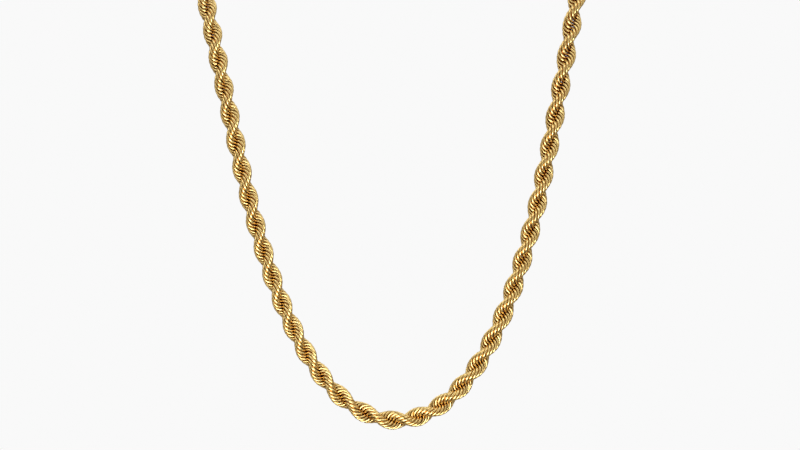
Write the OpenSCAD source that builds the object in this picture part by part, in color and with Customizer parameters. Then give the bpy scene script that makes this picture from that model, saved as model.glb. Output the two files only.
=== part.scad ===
// Rope chain necklace, hanging as it is worn.
// The origin is on the nape side of the clasp, +Z is up and the front drop hangs towards -Y and -Z.

/* [Rope] */
// Width of the rope across its bumps
rope_w = 5.2; // [3:0.1:7]

/* [Front drop] */
// Radius of the bend at the lowest point of the drop
bend_r = 18.3; // [14:0.1:22]
// Distance between the two sides at the top of the free drop
drop_w = 84; // [75:1:95]

/* [Neck loop] */
// Height from the top of the free drop up to the level stretch behind the neck
neck_rise = 83.7; // [60:0.1:100]
// Distance from the widest place of the loop forward to the drop
front_depth = 62; // [45:1:80]
// Distance from the widest place of the loop back to the nape
back_depth = 56; // [40:1:75]

/* [Clasp] */
// Length of the clasp's barrel
clasp_l = 16; // [14:0.5:24]
// Wall of the barrel round a rope end
clasp_wall = 0.75; // [0.5:0.05:1.5]
// Depth of the cup that takes each rope end
cup_depth = 4; // [3:0.5:5]
// Gap between a rope end and the wall of its cup
cup_clearance = 0.15; // [0.1:0.05:0.3]
// Radius of the rounding on the barrel's two rims
rim_r = 0.35; // [0.2:0.05:0.45]
// Width of the groove where the barrel's halves meet
seam_w = 0.6; // [0.3:0.1:1]
// Depth of that groove
seam_depth = 0.3; // [0.1:0.05:0.5]

/* [Hidden] */
$fn = 96;

// The rope's solid is a tube with this many flat sides
rope_sides = 12;
// Rings of the tube along each half of the drop, each rise and each quarter of the neck loop
drop_steps = 18;
rise_steps = 14;
neck_steps = 9;
// Above 1, this sets the rings of the drop closer together towards its bend
ring_crowding = 1.4;
// Flats in the rounding of a rim
rim_steps = 4;
// Straight stretch of rope between the neck loop and the mouth of its cup
rope_lead = 1;

cup_r = rope_w / 2 + cup_clearance;
barrel_r = cup_r + clasp_wall;

// The rope's axis at the nape lies one barrel radius behind the neck
nape_y = barrel_r;
widest_y = nape_y - back_depth;
front_y = widest_y - front_depth;

// Half of the drop is a catenary, measured along its length from the lowest point
half_w = drop_w / 2;
drop_len = bend_r * (exp(half_w / bend_r) - exp(-half_w / bend_r)) / 2;
drop_h = sqrt(bend_r * bend_r + drop_len * drop_len) - bend_r;
lowest_z = -neck_rise - drop_h;

// The rise goes on in the direction in which the drop ends, which leads it outwards this far
rise_lean = neck_rise * bend_r / drop_len;
widest_x = half_w + rise_lean;

loop_end_x = clasp_l / 2 + rope_lead;
rope_end_x = clasp_l / 2 - cup_depth;

function unit(v) = v / norm(v);
function mirrored(p) = [-p[0], p[1], p[2]];
function reversed(list) = [for (i = [len(list) - 1:-1:0]) list[i]];

// Where half of the drop is after a length s of rope
function drop_point(s) =
    let (x = bend_r * ln(s / bend_r + sqrt(pow(s / bend_r, 2) + 1)))
    [x, front_y, lowest_z + sqrt(bend_r * bend_r + s * s) - bend_r];

// A quarter turn from straight up to straight back, a is 0 to 90 degrees
function rise_point(a) = [
    half_w + rise_lean * sin(a),
    front_y + front_depth * (1 - cos(a)),
    -neck_rise * (1 - sin(a))
];

// A quarter turn from straight back to straight across the nape, a is 0 to 90 degrees
function neck_point(a) = [
    loop_end_x + (widest_x - loop_end_x) * cos(a),
    widest_y + back_depth * sin(a),
    0
];

// The right half of the rope from its lowest point to its end in the clasp
right_half = [
    for (i = [1:drop_steps]) drop_point(drop_len * pow(i / drop_steps, ring_crowding)),
    for (i = [1:rise_steps]) rise_point(90 * i / rise_steps),
    for (i = [1:neck_steps]) neck_point(90 * i / neck_steps),
    [rope_end_x, nape_y, 0]
];
left_half = [for (p = reversed(right_half)) mirrored(p)];
route = concat(left_half, [drop_point(0)], right_half);

// Direction of the rope at each point of its route
tangents = [
    for (i = [0:len(route) - 1])
        unit(route[min(i + 1, len(route) - 1)] - route[max(i - 1, 0)])
];

// One direction across the rope at each point, carried along so that the tube isn't twisted
function carried(across, tangent) = unit(across - tangent * (across * tangent));
function carried_along(i, across) =
    i == len(tangents) ? [] :
    let (next = carried(across, tangents[i]))
    concat([next], carried_along(i + 1, next));
across = carried_along(0, [0, 0, 1]);

// The corners of the tube's ring at one point of the route
function ring(i, r) = [
    for (k = [0:rope_sides - 1])
        let (a = 360 * k / rope_sides)
        route[i] + r * (cos(a) * across[i] + sin(a) * cross(tangents[i], across[i]))
];

// A round tube along the whole route
module rope_tube(r) {
    rings = len(route);
    corners = [for (i = [0:rings - 1]) each ring(i, r)];
    sides = [
        for (i = [0:rings - 2], k = [0:rope_sides - 1])
            let (near = i * rope_sides, far = near + rope_sides, next = (k + 1) % rope_sides)
            each [
                [near + k, far + k, far + next],
                [near + k, far + next, near + next]
            ]
    ];
    first_end = [for (k = [0:rope_sides - 1]) k];
    last_end = [for (k = [rope_sides - 1:-1:0]) (rings - 1) * rope_sides + k];
    polyhedron(points = corners, faces = concat(sides, [first_end, last_end]));
}

// The chain from the cup on one side of the clasp, round the front, to the cup on the other
module rope_chain() {
    color("goldenrod") rope_tube(rope_w / 2);
}

// Outline of one half of the barrel, as [radius, distance from its middle]
function rim(a) = [
    barrel_r - rim_r * (1 - cos(a)),
    clasp_l / 2 - rim_r * (1 - sin(a))
];
half_barrel = [
    [barrel_r - seam_depth, 0],
    [barrel_r - seam_depth, seam_w / 4],
    [barrel_r, seam_w / 2],
    for (i = [0:rim_steps]) rim(90 * i / rim_steps),
    [cup_r, clasp_l / 2],
    [cup_r, rope_end_x],
    [0, rope_end_x],
    [0, 0]
];

// A plain barrel with a cup in each end for the rope and a fine groove round its middle
module clasp() {
    color("gold")
        translate([0, nape_y, 0])
            for (turn = [90, -90])
                rotate([0, turn, 0])
                    rotate_extrude() polygon(half_barrel);
}

rope_chain();
clasp();
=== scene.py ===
# %% [markdown]
# # A rope chain necklace
#
# A rope chain looks like a cord that is laid from two thick strands, but it holds no cord at all.
# It is made of small open wire rings, each hooked into the ones before it, and the two strands
# that the eye sees are two stacks of such rings that wind round each other.
#
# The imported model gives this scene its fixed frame: a plain round tube where the rope runs, and a
# clasp behind the neck. This lesson keeps the clasp, gives it a finish, and puts real rings in
# the place of the tube. All sizes are metres.

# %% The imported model
import random
from bisect import bisect_right
from math import asinh, atan2, cos, hypot, pi, radians, sin, sinh, sqrt

import bmesh
import bpy
import numpy as np
from mathutils import Matrix, Vector
from mathutils.bvhtree import BVHTree


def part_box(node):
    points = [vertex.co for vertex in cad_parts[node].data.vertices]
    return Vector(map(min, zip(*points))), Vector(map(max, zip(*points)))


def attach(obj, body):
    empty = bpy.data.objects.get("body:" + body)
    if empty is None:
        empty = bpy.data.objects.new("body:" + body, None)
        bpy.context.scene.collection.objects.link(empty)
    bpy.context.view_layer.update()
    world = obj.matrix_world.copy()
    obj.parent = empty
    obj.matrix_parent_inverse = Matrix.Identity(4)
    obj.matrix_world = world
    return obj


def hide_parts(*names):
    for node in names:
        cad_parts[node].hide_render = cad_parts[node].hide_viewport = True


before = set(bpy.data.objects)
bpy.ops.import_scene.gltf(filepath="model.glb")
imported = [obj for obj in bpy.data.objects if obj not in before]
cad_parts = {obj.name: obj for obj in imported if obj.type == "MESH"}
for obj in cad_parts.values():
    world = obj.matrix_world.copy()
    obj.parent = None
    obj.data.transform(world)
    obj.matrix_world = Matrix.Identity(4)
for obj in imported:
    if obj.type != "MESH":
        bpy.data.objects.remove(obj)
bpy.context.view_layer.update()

rope_low, rope_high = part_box("rope_chain")
clasp_low, clasp_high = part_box("clasp")
print("rope from", rope_low[:], "to", rope_high[:])

# %% [markdown]
# ## The camera
#
# The necklace is seen straight from the front and level, from so far away that the drop shows
# almost no perspective. A long lens does this: its length follows from how wide the picture is at
# the drop and how far away the camera stands. The view is centred a little to the right of the
# necklace's middle and well above its lowest point, so that the top of the picture cuts both
# sides of the drop where the reference picture does.
#
# Turned a quarter turn about X, the camera looks exactly along +Y. The second angle rolls it by less
# than a degree, because the chain hangs a little askew in the picture.

# %% The camera
ROPE_WIDTH = 0.0052
VIEW_WIDTH = 0.21505
VIEW_DISTANCE = 1.15
VIEW_ASIDE = 0.00145
VIEW_ABOVE_LOWEST = 0.05242
VIEW_ROLL = radians(0.75)
SENSOR_WIDTH = 0.036
NEAREST_SEEN = 0.05
FARTHEST_SEEN = 20

lowest_z = rope_low.z + ROPE_WIDTH / 2
front_y = rope_low.y + ROPE_WIDTH / 2

camera_data = bpy.data.cameras.new("camera")
camera_data.sensor_width = SENSOR_WIDTH * 1000
camera_data.lens = SENSOR_WIDTH * 1000 * VIEW_DISTANCE / VIEW_WIDTH
camera_data.clip_start = NEAREST_SEEN
camera_data.clip_end = FARTHEST_SEEN
camera = bpy.data.objects.new("camera", camera_data)
camera.location = (VIEW_ASIDE, front_y - VIEW_DISTANCE, lowest_z + VIEW_ABOVE_LOWEST)
camera.rotation_euler = (pi / 2, VIEW_ROLL, 0)
bpy.context.scene.collection.objects.link(camera)
bpy.context.scene.camera = camera
print("lens", round(camera_data.lens, 1), "mm, at", camera.location[:])

# %% [markdown]
# ## Where the rope runs
#
# A fine chain that hangs from two points takes the form of a catenary, the curve of a hanging
# chain. Its one size is the radius of its bend at the lowest point. Two thirds of the way up the
# picture the rope leaves this curve. From there it goes on straight, seen from the front, because
# it starts to bend back over the collar bones. A second quarter turn takes it level round the neck
# to its clasp.
#
# A curve object could carry the rope, but its rings need exact places, each at its own length of
# rope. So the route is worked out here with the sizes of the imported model, and the ends of the
# packed tube show whether it is right.

# %% Sizes of the route
BEND_RADIUS = 0.0183
DROP_WIDTH = 0.084
NECK_RISE = 0.0837
FRONT_DEPTH = 0.062
BACK_DEPTH = 0.056
ROPE_LEAD = 0.001
CUP_DEPTH = 0.004
ROUTE_STEPS = 400

nape_y = (clasp_low.y + clasp_high.y) / 2
clasp_end_x = clasp_high.x
widest_y = nape_y - BACK_DEPTH
drop_y = widest_y - FRONT_DEPTH
half_drop = DROP_WIDTH / 2
drop_length = BEND_RADIUS * sinh(half_drop / BEND_RADIUS)
drop_height = hypot(BEND_RADIUS, drop_length) - BEND_RADIUS
rise_lean = NECK_RISE * BEND_RADIUS / drop_length
widest_x = half_drop + rise_lean
loop_end_x = clasp_end_x + ROPE_LEAD
rope_end_x = clasp_end_x - CUP_DEPTH
print("drop", round(drop_height * 1000, 2), "mm high; its plane is off the tube's by",
      round(1000 * abs(drop_y - front_y), 3), "mm")


# %% Points along one side
def drop_point(length):
    """A point of the free drop, this length of rope away from its lowest point"""
    rise = hypot(BEND_RADIUS, length) - BEND_RADIUS
    return Vector((BEND_RADIUS * asinh(length / BEND_RADIUS), drop_y, rise - drop_height - NECK_RISE))


def rise_point(turn):
    """A point of the quarter turn from the drop back over the collar bone"""
    return Vector((
        half_drop + rise_lean * sin(turn),
        drop_y + FRONT_DEPTH * (1 - cos(turn)),
        -NECK_RISE * (1 - sin(turn)),
    ))


def neck_point(turn):
    """A point of the level quarter turn round to the nape"""
    return Vector((
        loop_end_x + (widest_x - loop_end_x) * cos(turn),
        widest_y + BACK_DEPTH * sin(turn),
        0,
    ))


route = [drop_point(drop_length * i / ROUTE_STEPS) for i in range(ROUTE_STEPS + 1)]
route += [rise_point(pi / 2 * i / ROUTE_STEPS) for i in range(1, ROUTE_STEPS + 1)]
route += [neck_point(pi / 2 * i / ROUTE_STEPS) for i in range(1, ROUTE_STEPS + 1)]
route.append(Vector((rope_end_x, nape_y, 0)))

reached = [0.0]
for here, there in zip(route, route[1:]):
    reached.append(reached[-1] + (there - here).length)
half_length = reached[-1]
print("rope length", round(2000 * half_length, 1), "mm")

# %% [markdown]
# ## A direction that doesn't spin
#
# The rings turn about the rope's axis by an exact angle from one to the next, so the angle needs
# something to be measured from. A fixed direction fails where the rope runs along it. The cure is
# to carry one crosswise direction along the route and to straighten it at each step, so that it
# bends with the rope but never spins about it.
#
# The other half of the rope is this half's mirror image. Only its route is mirrored. The twist
# goes on in the same sense from end to end, as it does in real rope.

# %% Places along the rope
alongs = []
for i in range(len(route)):
    before = route[max(i - 1, 0)]
    after = route[min(i + 1, len(route) - 1)]
    alongs.append((after - before).normalized())
alongs[0] = Vector((1, 0, 0))

acrosses = [Vector((0, 1, 0))]
for along in alongs[1:]:
    carried = acrosses[-1] - along * along.dot(acrosses[-1])
    acrosses.append(carried.normalized())


def rope_place(distance):
    """The rope's place at a distance from its lowest point: a matrix whose Z runs along the rope"""
    step = min(bisect_right(reached, abs(distance)), len(reached) - 1) - 1
    part = (abs(distance) - reached[step]) / (reached[step + 1] - reached[step])
    point = route[step].lerp(route[step + 1], part)
    along = alongs[step].lerp(alongs[step + 1], part).normalized()
    across = acrosses[step].lerp(acrosses[step + 1], part)
    across = (across - along * along.dot(across)).normalized()
    if distance < 0:
        flip = Vector((-1, 1, 1))
        point, across, along = point * flip, across * flip, -(along * flip)
    place = Matrix((across, along.cross(across), along)).transposed().to_4x4()
    place.translation = point
    return place


print("the rope ends at", rope_place(half_length).translation[:])

# %% [markdown]
# ## One ring
#
# Each link is a piece of wire, a little flatter than round, bent into a ring. Its ends stay a
# little more than one wire's width apart, and through that opening it was hooked over the rings
# before it.
#
# A torus has no opening, and a curve with a bevel leaves a stretched end. So a circle stands
# across the ring and is spun about its centre, and the two holes are filled. The wire has 5 sides
# and the ring 12 steps, because this shape is repeated over a thousand times. A Subdivision
# Surface modifier later rounds them. It also draws each corner inwards, by a share that
# depends on the number of sides, so the cage starts larger by just that share.

# %% Sizes of one ring
WIRE_WIDTH = 0.00070
WIRE_THICKNESS = 0.00064
RING_RADIUS = 0.00205
RING_STEPS = 12
WIRE_SIDES = 5
OPENING = radians(26)
OPENING_MIDDLE = radians(102.5)


def pull(sides):
    """How much of a polygon's radius is left once its corners lie on the smooth surface"""
    return (2 + cos(2 * pi / sides)) / 3


ring_turn = 2 * pi - OPENING
cage_wire_radius = WIRE_THICKNESS / 2 / pull(WIRE_SIDES)
cage_ring_radius = RING_RADIUS / pull(2 * pi * RING_STEPS / ring_turn)
print("the cage starts", round(100 * (cage_ring_radius / RING_RADIUS - 1), 1), "% larger")

# %% The ring's mesh
link = bmesh.new()
bmesh.ops.create_circle(
    link,
    segments=WIRE_SIDES,
    radius=cage_wire_radius,
    matrix=Matrix.Translation((cage_ring_radius, 0, 0)) @ Matrix.Rotation(pi / 2, 4, "X"),
)
bmesh.ops.scale(link, verts=link.verts[:], vec=(1, 1, WIRE_WIDTH / WIRE_THICKNESS))
bmesh.ops.spin(
    link,
    geom=link.edges[:],
    cent=(0, 0, 0),
    axis=(0, 0, 1),
    angle=ring_turn,
    steps=RING_STEPS,
)
wire_ends = bmesh.ops.holes_fill(link, edges=[edge for edge in link.edges if edge.is_boundary])["faces"]
bmesh.ops.recalc_face_normals(link, faces=link.faces[:])
print("one ring has", len(link.faces), "faces and", len(link.verts), "corners")

# %% [markdown]
# ## What the finish needs to know of the wire
#
# Gold wire is drawn through a die, which leaves fine marks along it. They follow the wire round its
# ring, so a pattern on plain object coordinates would cut across them.
#
# Each corner therefore carries its place on the wire: the cosine and the sine of its angle round
# the section, and its distance along the wire, counted in wire widths. Written as a cosine and a
# sine, the angle has no seam.

# %% Each corner's place on the wire
SMALL_TURN = 0.1


def turn_of(spot):
    """The angle round the ring, from its first end to its other end"""
    return (atan2(spot.y, spot.x) + SMALL_TURN) % (2 * pi) - SMALL_TURN


def wire_turn_of(spot):
    """The angle round the wire's section"""
    thickness_up = spot.z * WIRE_THICKNESS / WIRE_WIDTH
    return atan2(thickness_up, hypot(spot.x, spot.y) - cage_ring_radius)


on_wire = link.verts.layers.float_vector.new("on_wire")
for corner in link.verts:
    along_wire = turn_of(corner.co) * RING_RADIUS / WIRE_WIDTH
    section = wire_turn_of(corner.co)
    corner[on_wire] = (cos(section), sin(section), along_wire)
wire_length = ring_turn * RING_RADIUS
print("each ring takes", round(wire_length * 1000, 2), "mm of wire")

# %% [markdown]
# ## A flat map of the wire
#
# When the finish is baked into pictures, each spot of the surface needs a place of its own on a
# flat map. Smart UV Project would cut each ring into many scraps. A wire unrolls by itself: its
# length goes across the map, its round goes up, and its two ends lie at either side. The map is
# shared out later, when each ring of a strand gets a cell of its own.

# %% The map of one ring
END_SHARE = 0.07
END_TALL = 0.3
END_WIDE = 0.9
ROW_MARGIN = 0.03
WIRE_START = 1.15 * END_SHARE

link.verts.ensure_lookup_table()
map_seam = wire_turn_of(link.verts[0].co)
wire_map = link.loops.layers.uv.new("OFBake")
for face in link.faces:
    if face in wire_ends:
        middle = face.calc_center_median()
        left = 0 if turn_of(middle) < pi else 1 - END_SHARE
        reach = Vector((middle.x, middle.y, 0)).normalized()
        for loop in face.loops:
            spot = (loop.vert.co - middle) / cage_wire_radius
            u = left + END_SHARE * (0.5 + END_WIDE / 2 * spot.dot(reach))
            loop[wire_map].uv = (u, 0.5 + END_TALL / 2 * spot.z)
        continue
    face_turn = (wire_turn_of(face.calc_center_median()) - map_seam) % (2 * pi)
    for loop in face.loops:
        part = turn_of(loop.vert.co) / ring_turn
        section = wire_turn_of(loop.vert.co) - map_seam - face_turn
        section = face_turn + (section + pi) % (2 * pi) - pi
        u = WIRE_START + (1 - 2 * WIRE_START) * part
        loop[wire_map].uv = (u, ROW_MARGIN + (1 - 2 * ROW_MARGIN) * section / (2 * pi))
tall = [loop[wire_map].uv.y for face in link.faces for loop in face.loops]
print("the map runs from", round(min(tall), 2), "to", round(max(tall), 2))

# %% [markdown]
# ## How the rings interlock
#
# Each ring stands almost along the rope. Its centre lies a little off the rope's axis, and its
# plane leans a few degrees out of the axis. The next ring is the same one turned by half a turn
# and a little more, and moved up by less than its wire's width. So every second ring lies in the
# same strand, close against its neighbour, and runs through the rings of the other strand.
#
# Twenty such moves make the "little more" add up to half a turn of the rope, which is the
# distance from one bump to the next.
#
# The rings of both strands could be placed by an Array modifier with an offset object, but the
# rope also bends, and its twist is looser on one side than on the other. A loop can follow both.

# %% A ring's place in the rope
RING_OFF_CENTRE = 0.00023
RING_LEAN = radians(98.5)
RING_YAW = radians(0.3)
RINGS_PER_HALF_TURN = 20
RING_TO_RING = pi + pi / RINGS_PER_HALF_TURN

ring_normal = Vector((sin(RING_YAW), -cos(RING_YAW) * sin(RING_LEAN), cos(RING_YAW) * cos(RING_LEAN)))
ring_across = (Vector((1, 0, 0)) - ring_normal * ring_normal.x).normalized()
ring_along = ring_normal.cross(ring_across)
ring_tilt = Matrix((ring_across, ring_along, ring_normal)).transposed().to_4x4()
opened = Matrix.Rotation(OPENING_MIDDLE + OPENING / 2, 4, "Z")
ring_seat = Matrix.Translation((RING_OFF_CENTRE, 0, 0)) @ ring_tilt @ opened
ring_reach = RING_OFF_CENTRE + RING_RADIUS + WIRE_THICKNESS / 2
print("a ring reaches", round(ring_reach * 1000, 3), "mm from the rope's axis")

# %% [markdown]
# ## What light can reach
#
# Little light gets into the grooves between the rings and to where the rings dive into the core, and
# the finish paints shade there: it darkens and reddens the gold by how open each spot is to light. The
# finish has to know where that is, and an Ambient Occlusion node would measure it anew in each render.
#
# All rings lie alike, so it is enough to measure one of them, once. A short stretch of chain is
# laid straight, with its corners on the surface of the real wire. From each corner of the ring in
# its middle, rays leave in all directions that point out of the wire. The share of them that gets
# away freely is kept on that corner.

# %% The open share of each corner
NEIGHBOURS = 14
MEAN_HALF_TURN = 0.0077
RAYS = 200
LIFT = 0.00002
GOLDEN_ANGLE = pi * (3 - sqrt(5))


def on_real_wire(spot):
    """Where a corner of the cage comes to lie on the wire"""
    turn = turn_of(spot)
    section = wire_turn_of(spot)
    reach = RING_RADIUS + WIRE_THICKNESS / 2 * cos(section)
    return Vector((reach * cos(turn), reach * sin(turn), WIRE_WIDTH / 2 * sin(section)))


real_ring = link.copy()
for corner in real_ring.verts:
    corner.co = on_real_wire(corner.co)
bmesh.ops.transform(real_ring, matrix=ring_seat, verts=real_ring.verts[:])
real_ring.normal_update()
real_mesh = bpy.data.meshes.new("real_ring")
real_ring.to_mesh(real_mesh)

stretch_of_chain = bmesh.new()
for number in range(-NEIGHBOURS, NEIGHBOURS + 1):
    copy = real_mesh.copy()
    lifted = Matrix.Translation((0, 0, number * MEAN_HALF_TURN / RINGS_PER_HALF_TURN))
    copy.transform(lifted @ Matrix.Rotation(number * RING_TO_RING, 4, "Z"))
    stretch_of_chain.from_mesh(copy)
    bpy.data.meshes.remove(copy)
stretch_tree = BVHTree.FromBMesh(stretch_of_chain)

ball_directions = []
for i in range(RAYS):
    height = 1 - 2 * (i + 0.5) / RAYS
    wide = sqrt(1 - height * height)
    ball_directions.append(Vector((wide * cos(i * GOLDEN_ANGLE), wide * sin(i * GOLDEN_ANGLE), height)))


def open_share(corner):
    """The share of the light round a corner that comes from outside the rope"""
    start = corner.co + corner.normal * LIFT
    free = 0
    whole = 0
    for direction in ball_directions:
        slope = direction.dot(corner.normal)
        if slope > 0:
            whole += slope
            free += 0 if stretch_tree.ray_cast(start, direction)[0] else slope
    return free / whole


open_shares = [open_share(corner) for corner in real_ring.verts]
real_ring.free()
stretch_of_chain.free()
bpy.data.meshes.remove(real_mesh)
print("open shares from", round(min(open_shares), 2), "to", round(max(open_shares), 2))

# %% The ring in its seat
bmesh.ops.transform(link, matrix=ring_seat, verts=link.verts[:])
open_to_light = link.verts.layers.float.new("open_to_light")
for corner, share in zip(link.verts, open_shares):
    corner[open_to_light] = share
ring_tint = link.verts.layers.float.new("ring_tint")
link_mesh = bpy.data.meshes.new("link")
link.to_mesh(link_mesh)
link.free()

# %% [markdown]
# ## The twist along the rope
#
# A rope chain lies looser where it has been pulled and tighter where it bends. The table gives
# the length of half a turn at some distances from the lowest point, to the left and to the right,
# and between them it changes evenly.

# %% Length of half a turn
# Distance from the lowest point, length of half a turn
HALF_TURNS = (
    (-0.110, 0.0077),
    (-0.030, 0.0073),
    (-0.008, 0.0081),
    (0.004, 0.0069),
    (0.040, 0.0077),
    (0.090, 0.0080),
    (0.125, 0.0090),
    (0.160, 0.0076),
)
FIRST_RING = -0.0013
END_MARGIN = 0.0023


def half_turn_at(distance):
    """The length of half a turn of the rope at this distance from its lowest point"""
    for (near, near_length), (far, far_length) in zip(HALF_TURNS, HALF_TURNS[1:]):
        if near <= distance <= far:
            part = (distance - near) / (far - near)
            return near_length + part * (far_length - near_length)
    return HALF_TURNS[0][1] if distance < 0 else HALF_TURNS[-1][1]


def ring_distances(direction):
    """Numbers and distances of the rings from the first one to the rope's end on one side"""
    number = 0
    distance = FIRST_RING
    rings = []
    while abs(distance) <= half_length - END_MARGIN:
        rings.append((number, distance))
        number += direction
        distance += direction * half_turn_at(distance) / RINGS_PER_HALF_TURN
    return rings


sides = {"right": ring_distances(1), "left": ring_distances(-1)[1:]}
print("rings:", {side: len(rings) for side, rings in sides.items()})

# %% [markdown]
# ## Joining the rings
#
# A thousand objects would be slow to draw and awkward to export, so the rings of one strand on
# one side are joined into a single mesh. Each copy is turned into its place and added to the
# strand. A real ring never lies quite like its neighbour. The rings of a strand are hooked in from
# either side by turns, so they lean by turns too, and close up two by two where they dive into
# the core. Each is also tipped by up to a degree, and its tint is a little its own. The random
# numbers start from a fixed seed, and the chain comes out the same each time.

# %% A copy of the ring, finished for its place
TIP = radians(1.0)
PAIR_LEAN = radians(1.2)
MAP_COLUMNS = 8
MAP_ROWS = 48

flat_map = np.empty(len(link_mesh.loops) * 2, dtype=np.float32)
link_mesh.attributes["OFBake"].data.foreach_get("vector", flat_map)
wire_places = np.empty(len(link_mesh.vertices) * 3, dtype=np.float32)
link_mesh.attributes["on_wire"].data.foreach_get("vector", wire_places)


def ring_copy(order, dice):
    """A copy of the ring with its own tint, its own wire pattern and its own cell of the map"""
    copy = link_mesh.copy()
    tints = np.full(len(copy.vertices), dice.random(), dtype=np.float32)
    copy.attributes["ring_tint"].data.foreach_set("value", tints)
    places = wire_places.reshape(-1, 3) + np.float32((0, 0, dice.uniform(0, 500)))
    copy.attributes["on_wire"].data.foreach_set("vector", places.ravel())
    cell = np.float32((order % MAP_COLUMNS, order // MAP_COLUMNS))
    spots = (flat_map.reshape(-1, 2) + cell) / np.float32((MAP_COLUMNS, MAP_ROWS))
    copy.attributes["OFBake"].data.foreach_set("vector", spots.ravel())
    return copy


# %% The four stretches of strand
STRANDS = ("first_strand", "second_strand")
strands = []
for side, rings in sides.items():
    for strand in range(2):
        name = STRANDS[strand] + "_" + side
        dice = random.Random(name)
        joined = bmesh.new()
        for order, (number, distance) in enumerate(rings[strand::2]):
            turn = pi / 2 + number * RING_TO_RING
            lean = PAIR_LEAN if order % 2 == 0 else -PAIR_LEAN
            tip = Matrix.Rotation(lean + dice.uniform(-TIP, TIP), 4, "X")
            tip = tip @ Matrix.Rotation(dice.uniform(-TIP, TIP), 4, "Y")
            copy = ring_copy(order, dice)
            copy.transform(rope_place(distance) @ Matrix.Rotation(turn, 4, "Z") @ tip)
            joined.from_mesh(copy)
            bpy.data.meshes.remove(copy)
        for face in joined.faces:
            face.smooth = True
        mesh = bpy.data.meshes.new(name)
        joined.to_mesh(mesh)
        joined.free()
        piece = bpy.data.objects.new(name, mesh)
        bpy.context.scene.collection.objects.link(piece)
        rounding = piece.modifiers.new("rounding", "SUBSURF")
        rounding.levels = 1
        rounding.render_levels = 1
        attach(piece, "root")
        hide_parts("rope_chain")
        strands.append(piece)
        print(name, order + 1, "rings,", len(mesh.polygons), "faces")

# %% [markdown]
# ## Gold on the rope
#
# The chain is yellow gold plate. In the grooves between the rings the gold looks darker and redder,
# because light reaches them only after it has met gold several times.
#
# Light does part of this by itself. The rest is painted shade in the colour: a ramp takes the colour
# from a brown red, where little light gets in, to yellow gold where the wire lies open. The very core
# is painted a little brighter again, or no light at all would come back out of it. Each ring has a tint
# of its own, and a slow noise makes the polish uneven. The drawing marks are a noise that is stretched
# along the wire. They stay so shallow that they only break up the highlights. Plated chains are sold
# under a thin clear lacquer, which the coat gives: it lays a faint pale sheen over the gold, and the
# wires keep their colour under it.

# %% The rope's finish
LACQUER_SHARE = 0.12
LACQUER_ROUGHNESS = 0.2
LACQUER_IOR = 1.6
# These golds paint shade: deep red-brown and half-shade gold where little light gets in, a brighter
# very core, and yellow where the surface lies open.
GOLD_CORE = (0.68, 0.20, 0.03, 1)
GOLD_IN_PAINTED_SHADE = (0.34, 0.09, 0.012, 1)
GOLD_IN_PAINTED_HALF_SHADE = (0.42, 0.18, 0.020, 1)
GOLD_BRIGHT = (0.94, 0.64, 0.235, 1)
TINT_DARK = (0.90, 0.86, 0.80, 1)
TINT_PALE = (1.0, 1.0, 1.0, 1)
# Open share of a spot, colour there
PAINTED_SHADE_TONES = ((0.0, GOLD_CORE), (0.10, GOLD_IN_PAINTED_SHADE), (0.28, GOLD_IN_PAINTED_HALF_SHADE), (0.62, GOLD_BRIGHT))
RING_TONES = ((0.0, TINT_DARK), (0.6, TINT_PALE))


def new_material(name):
    """A node material, with its nodes, its links and its shader"""
    material = bpy.data.materials.new(name)
    material.use_nodes = True
    tree = material.node_tree
    return material, tree.nodes, tree.links, tree.nodes["Principled BSDF"]


def ramp(nodes, *stops):
    """A colour ramp with these stops, each a position and a colour"""
    node = nodes.new("ShaderNodeValToRGB")
    elements = node.color_ramp.elements
    elements[0].position, elements[0].color = stops[0]
    elements[1].position, elements[1].color = stops[-1]
    for position, colour in stops[1:-1]:
        elements.new(position).color = colour
    return node


def times(nodes, links, first, second):
    """The product of two colours"""
    node = nodes.new("ShaderNodeMix")
    node.data_type = "RGBA"
    node.blend_type = "MULTIPLY"
    node.inputs["Factor"].default_value = 1
    links.new(first, node.inputs["A"])
    links.new(second, node.inputs["B"])
    return node.outputs["Result"]


def read(nodes, name):
    """A number or a vector that each corner of the mesh carries"""
    node = nodes.new("ShaderNodeAttribute")
    node.attribute_name = name
    return node


# %% Colour: painted shade in the grooves, and tint
rope_gold, nodes, links, shader = new_material("rope_gold")
shader.inputs["Metallic"].default_value = 1
shader.inputs["Coat Weight"].default_value = LACQUER_SHARE
shader.inputs["Coat Roughness"].default_value = LACQUER_ROUGHNESS
shader.inputs["Coat IOR"].default_value = LACQUER_IOR

# Painted shade: the ramp darkens and reddens the gold where little light reaches a spot, and paints the
# very core a little brighter.
painted_groove_shade = ramp(nodes, *PAINTED_SHADE_TONES)
links.new(read(nodes, "open_to_light").outputs["Fac"], painted_groove_shade.inputs["Fac"])

tint = ramp(nodes, *RING_TONES)
links.new(read(nodes, "ring_tint").outputs["Fac"], tint.inputs["Fac"])

toned = times(nodes, links, painted_groove_shade.outputs["Color"], tint.outputs["Color"])
links.new(toned, shader.inputs["Base Color"])

# %% Polish and drawing marks
POLISH_PER_METRE = 900
POLISH_DETAIL = 3
POLISH_NOISE = (0.3, 0.7)
POLISH_ROUGHNESS = (0.20, 0.30)
MARK_STRETCH = (5.0, 5.0, 0.12)
MARK_DETAIL = 4
MARK_DEPTH = 0.0000015

wire_place = read(nodes, "on_wire")
place = nodes.new("ShaderNodeTexCoord")
uneven = nodes.new("ShaderNodeTexNoise")
uneven.inputs["Scale"].default_value = POLISH_PER_METRE
uneven.inputs["Detail"].default_value = POLISH_DETAIL
links.new(place.outputs["Object"], uneven.inputs["Vector"])
polish = nodes.new("ShaderNodeMapRange")
polish.inputs["From Min"].default_value, polish.inputs["From Max"].default_value = POLISH_NOISE
polish.inputs["To Min"].default_value, polish.inputs["To Max"].default_value = POLISH_ROUGHNESS
links.new(uneven.outputs["Fac"], polish.inputs["Value"])
links.new(polish.outputs["Result"], shader.inputs["Roughness"])

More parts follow.
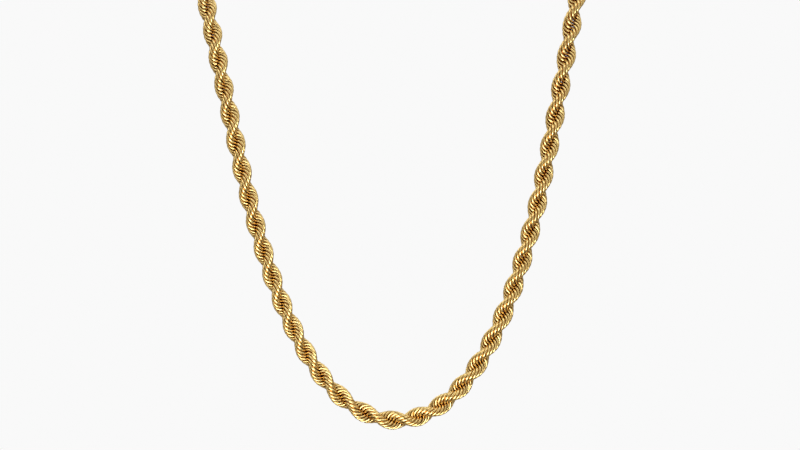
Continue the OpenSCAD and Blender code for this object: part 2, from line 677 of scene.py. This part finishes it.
stretch = nodes.new("ShaderNodeMapping")
stretch.inputs["Scale"].default_value = MARK_STRETCH
links.new(wire_place.outputs["Vector"], stretch.inputs["Vector"])
marks = nodes.new("ShaderNodeTexNoise")
marks.inputs["Scale"].default_value = 1
marks.inputs["Detail"].default_value = MARK_DETAIL
links.new(stretch.outputs["Vector"], marks.inputs["Vector"])
drawn = nodes.new("ShaderNodeBump")
drawn.inputs["Strength"].default_value = 1
drawn.inputs["Distance"].default_value = MARK_DEPTH
links.new(marks.outputs["Fac"], drawn.inputs["Height"])
links.new(drawn.outputs["Normal"], shader.inputs["Normal"])

for piece in strands:
    piece.data.materials.append(rope_gold)
print("rope_gold has", len(nodes), "nodes")

# %% [markdown]
# ## The clasp
#
# The clasp is a plain barrel behind the neck. Such barrels are turned on a lathe and polished, so the
# finest marks run round them, and wear leaves the polish uneven. Shade is painted into its colour where
# little light gets in: in the groove between its halves and inside its cups.
#
# The barrel keeps its imported mesh, which carries no attributes. Its axis runs along X, so Object
# coordinates are enough: the marks are a noise that is squeezed along X, and the distance from
# the axis tells the groove and the cups from the open surface.

# %% The clasp's finish: colour with painted shade
GROOVE_DEPTH = 0.0003
RIM_ROUND = 0.00035

clasp_gold, nodes, links, shader = new_material("clasp_gold")
shader.inputs["Metallic"].default_value = 1
barrel_radius = (clasp_high.z - clasp_low.z) / 2

place = nodes.new("ShaderNodeTexCoord")
section = nodes.new("ShaderNodeMapping")
section.inputs["Location"].default_value = (0, -nape_y, 0)
section.inputs["Scale"].default_value = (0, 1, 1)
links.new(place.outputs["Object"], section.inputs["Vector"])
from_axis = nodes.new("ShaderNodeVectorMath")
from_axis.operation = "LENGTH"
links.new(section.outputs["Vector"], from_axis.inputs[0])
# Painted shade: the colour darkens towards the axis, in the groove between the halves and inside the
# cups.
barrel_light_reach = nodes.new("ShaderNodeMapRange")
barrel_light_reach.inputs["From Min"].default_value = barrel_radius - 1.5 * RIM_ROUND
barrel_light_reach.inputs["From Max"].default_value = barrel_radius - GROOVE_DEPTH / 3
links.new(from_axis.outputs["Value"], barrel_light_reach.inputs["Value"])
barrel_painted_shade = ramp(nodes, (0.0, GOLD_IN_PAINTED_SHADE), (0.5, GOLD_IN_PAINTED_HALF_SHADE), (1.0, GOLD_BRIGHT))
links.new(barrel_light_reach.outputs["Result"], barrel_painted_shade.inputs["Fac"])
links.new(barrel_painted_shade.outputs["Color"], shader.inputs["Base Color"])
print("barrel radius", round(barrel_radius * 1000, 2), "mm")

# %% The clasp's finish: turning marks and wear
TURNING_STRETCH = (14000, 260, 260)
TURNING_DETAIL = 5
TURNING_DEPTH = 0.0000012
WEAR_PER_METRE = 1400
WEAR_DETAIL = 6
WEAR_SWIRL = 1.5
WEAR_NOISE = (0.35, 0.65)
WEAR_ROUGHNESS = (0.14, 0.30)

turned = nodes.new("ShaderNodeMapping")
turned.inputs["Scale"].default_value = TURNING_STRETCH
links.new(place.outputs["Object"], turned.inputs["Vector"])
turning_marks = nodes.new("ShaderNodeTexNoise")
turning_marks.inputs["Scale"].default_value = 1
turning_marks.inputs["Detail"].default_value = TURNING_DETAIL
links.new(turned.outputs["Vector"], turning_marks.inputs["Vector"])
turning = nodes.new("ShaderNodeBump")
turning.inputs["Strength"].default_value = 1
turning.inputs["Distance"].default_value = TURNING_DEPTH
links.new(turning_marks.outputs["Fac"], turning.inputs["Height"])
links.new(turning.outputs["Normal"], shader.inputs["Normal"])

worn = nodes.new("ShaderNodeTexNoise")
worn.inputs["Scale"].default_value = WEAR_PER_METRE
worn.inputs["Detail"].default_value = WEAR_DETAIL
worn.inputs["Distortion"].default_value = WEAR_SWIRL
links.new(place.outputs["Object"], worn.inputs["Vector"])
wear = nodes.new("ShaderNodeMapRange")
wear.inputs["From Min"].default_value, wear.inputs["From Max"].default_value = WEAR_NOISE
wear.inputs["To Min"].default_value, wear.inputs["To Max"].default_value = WEAR_ROUGHNESS
links.new(worn.outputs["Fac"], wear.inputs["Value"])
links.new(wear.outputs["Result"], shader.inputs["Roughness"])

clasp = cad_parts["clasp"]
clasp.data.materials.clear()
clasp.data.materials.append(clasp_gold)
print("clasp_gold has", len(nodes), "nodes")

# %% [markdown]
# ## A pale floor and a backdrop
#
# The picture's ground is an even, near-white grey. A lit wall would do, but polished gold mirrors
# all that stands round it, and a white wall would turn its edges white. Real jewellery is lit
# in the same way: the background is bright, but black cards stand just outside the picture.
#
# So the backdrop is the inside of a large ball that gives off an even light, and only the camera
# sees it. Reflections pass through it. The pale floor lies far below the hanging chain, lower than
# any lamp reaches, and gives off a little light too, so that it stays pale from every side.

# %% Floor
FLOOR_BELOW = 0.7
FLOOR_RADIUS = 5.3
FLOOR_SIDES = 96
FLOOR_PALE = (0.8, 0.8, 0.8, 1)
FLOOR_ROUGHNESS = 0.9
FLOOR_LIGHT = 0.5


def staged(name, shape, material):
    """An object of the studio that isn't part of the necklace"""
    mesh = bpy.data.meshes.new(name)
    shape.to_mesh(mesh)
    shape.free()
    thing = bpy.data.objects.new(name, mesh)
    bpy.context.scene.collection.objects.link(thing)
    mesh.materials.append(material)
    return thing


def only_seen(thing):
    """Let the camera see a thing, and let light and reflections pass through it"""
    thing.visible_glossy = False
    thing.visible_diffuse = False
    thing.visible_transmission = False
    thing.visible_volume_scatter = False
    thing.visible_shadow = False


pale_floor, nodes, links, shader = new_material("pale_floor")
shader.inputs["Base Color"].default_value = FLOOR_PALE
shader.inputs["Roughness"].default_value = FLOOR_ROUGHNESS
shader.inputs["Emission Color"].default_value = FLOOR_PALE
shader.inputs["Emission Strength"].default_value = FLOOR_LIGHT
disc = bmesh.new()
bmesh.ops.create_circle(
    disc,
    cap_ends=True,
    segments=FLOOR_SIDES,
    radius=FLOOR_RADIUS,
    matrix=Matrix.Translation((0, 0, rope_low.z - FLOOR_BELOW)),
)
only_seen(staged("floor", disc, pale_floor))
print("floor at", round(rope_low.z - FLOOR_BELOW, 3), "m")

# %% Backdrop
BACKDROP_RADIUS = 5.5
BACKDROP_LIGHT = 0.947
BACKDROP_ROUND = 48
BACKDROP_UP = 24

backdrop_white, nodes, links, shader = new_material("backdrop_white")
shader.inputs["Base Color"].default_value = (0, 0, 0, 1)
shader.inputs["Specular IOR Level"].default_value = 0
shader.inputs["Emission Color"].default_value = (1, 1, 1, 1)
shader.inputs["Emission Strength"].default_value = BACKDROP_LIGHT
ball = bmesh.new()
bmesh.ops.create_uvsphere(
    ball,
    u_segments=BACKDROP_ROUND,
    v_segments=BACKDROP_UP,
    radius=BACKDROP_RADIUS,
)
bmesh.ops.reverse_faces(ball, faces=ball.faces[:])
only_seen(staged("backdrop", ball, backdrop_white))
print("backdrop", 2 * BACKDROP_RADIUS, "m across")

# %% [markdown]
# ## The light
#
# Polished gold has hardly any colour of its own in the dark: it shows what stands round it. Small
# bright lamps would leave the wires black with a white dot on each, so most of the light is an
# even, slightly warm room. Large soft lamps, a little cooler, draw the pale lines along the tops
# of the wires. Two hang above, one stands on either side of the camera and one to the far right.
# Two more behind the necklace light the nape and the clasp, and give the wires at the edge of the
# rope their bright rim. A small one close by from below lifts the bend of the drop, which is the
# brightest part in the picture.

# %% Light
ROOM_LIGHT = 0.29
ROOM_TINT = (1.0, 0.955, 0.83, 1)
LAMP_TINT = (0.85, 0.97, 1.10)
# Name, angle round from the camera to the right, angle up, distance, width, height, power
LIGHTS = (
    ("top_left", -58, 58, 1.4, 0.9, 0.9, 4.8),
    ("top_right", 58, 58, 1.4, 0.9, 0.9, 4.4),
    ("right_side", 90, 25, 1.4, 0.7, 0.9, 1.6),
    ("left_soft", -45, 8, 1.4, 0.7, 1.0, 2.4),
    ("right_soft", 45, 6, 1.4, 0.6, 1.0, 2.4),
    ("back_left", -150, 40, 1.4, 0.9, 0.9, 3.5),
    ("back_right", 150, 40, 1.4, 0.9, 0.9, 3.5),
    ("low_soft", -10, -30, 0.35, 0.24, 0.16, 1.1),
)

world = bpy.data.worlds.new("studio")
bpy.context.scene.world = world
world.use_nodes = True
room = world.node_tree.nodes["Background"]
room.inputs["Color"].default_value = ROOM_TINT
room.inputs["Strength"].default_value = ROOM_LIGHT

drop_middle = Vector((0, front_y, lowest_z + VIEW_ABOVE_LOWEST))
for name, round_angle, up_angle, away, width, height, power in LIGHTS:
    data = bpy.data.lights.new(name, "AREA")
    data.shape = "RECTANGLE"
    data.size = width
    data.size_y = height
    data.energy = power
    data.color = LAMP_TINT
    lamp = bpy.data.objects.new(name, data)
    out = Matrix.Rotation(radians(round_angle), 3, "Z") @ Matrix.Rotation(radians(-up_angle), 3, "X")
    lamp.location = drop_middle + out @ Vector((0, -away, 0))
    lamp.rotation_euler = (drop_middle - lamp.location).to_track_quat("-Z", "Y").to_euler()
    lamp.visible_camera = False
    bpy.context.scene.collection.objects.link(lamp)
    print(name, [round(value, 2) for value in lamp.location])

bpy.context.scene.view_settings.view_transform = "Standard"
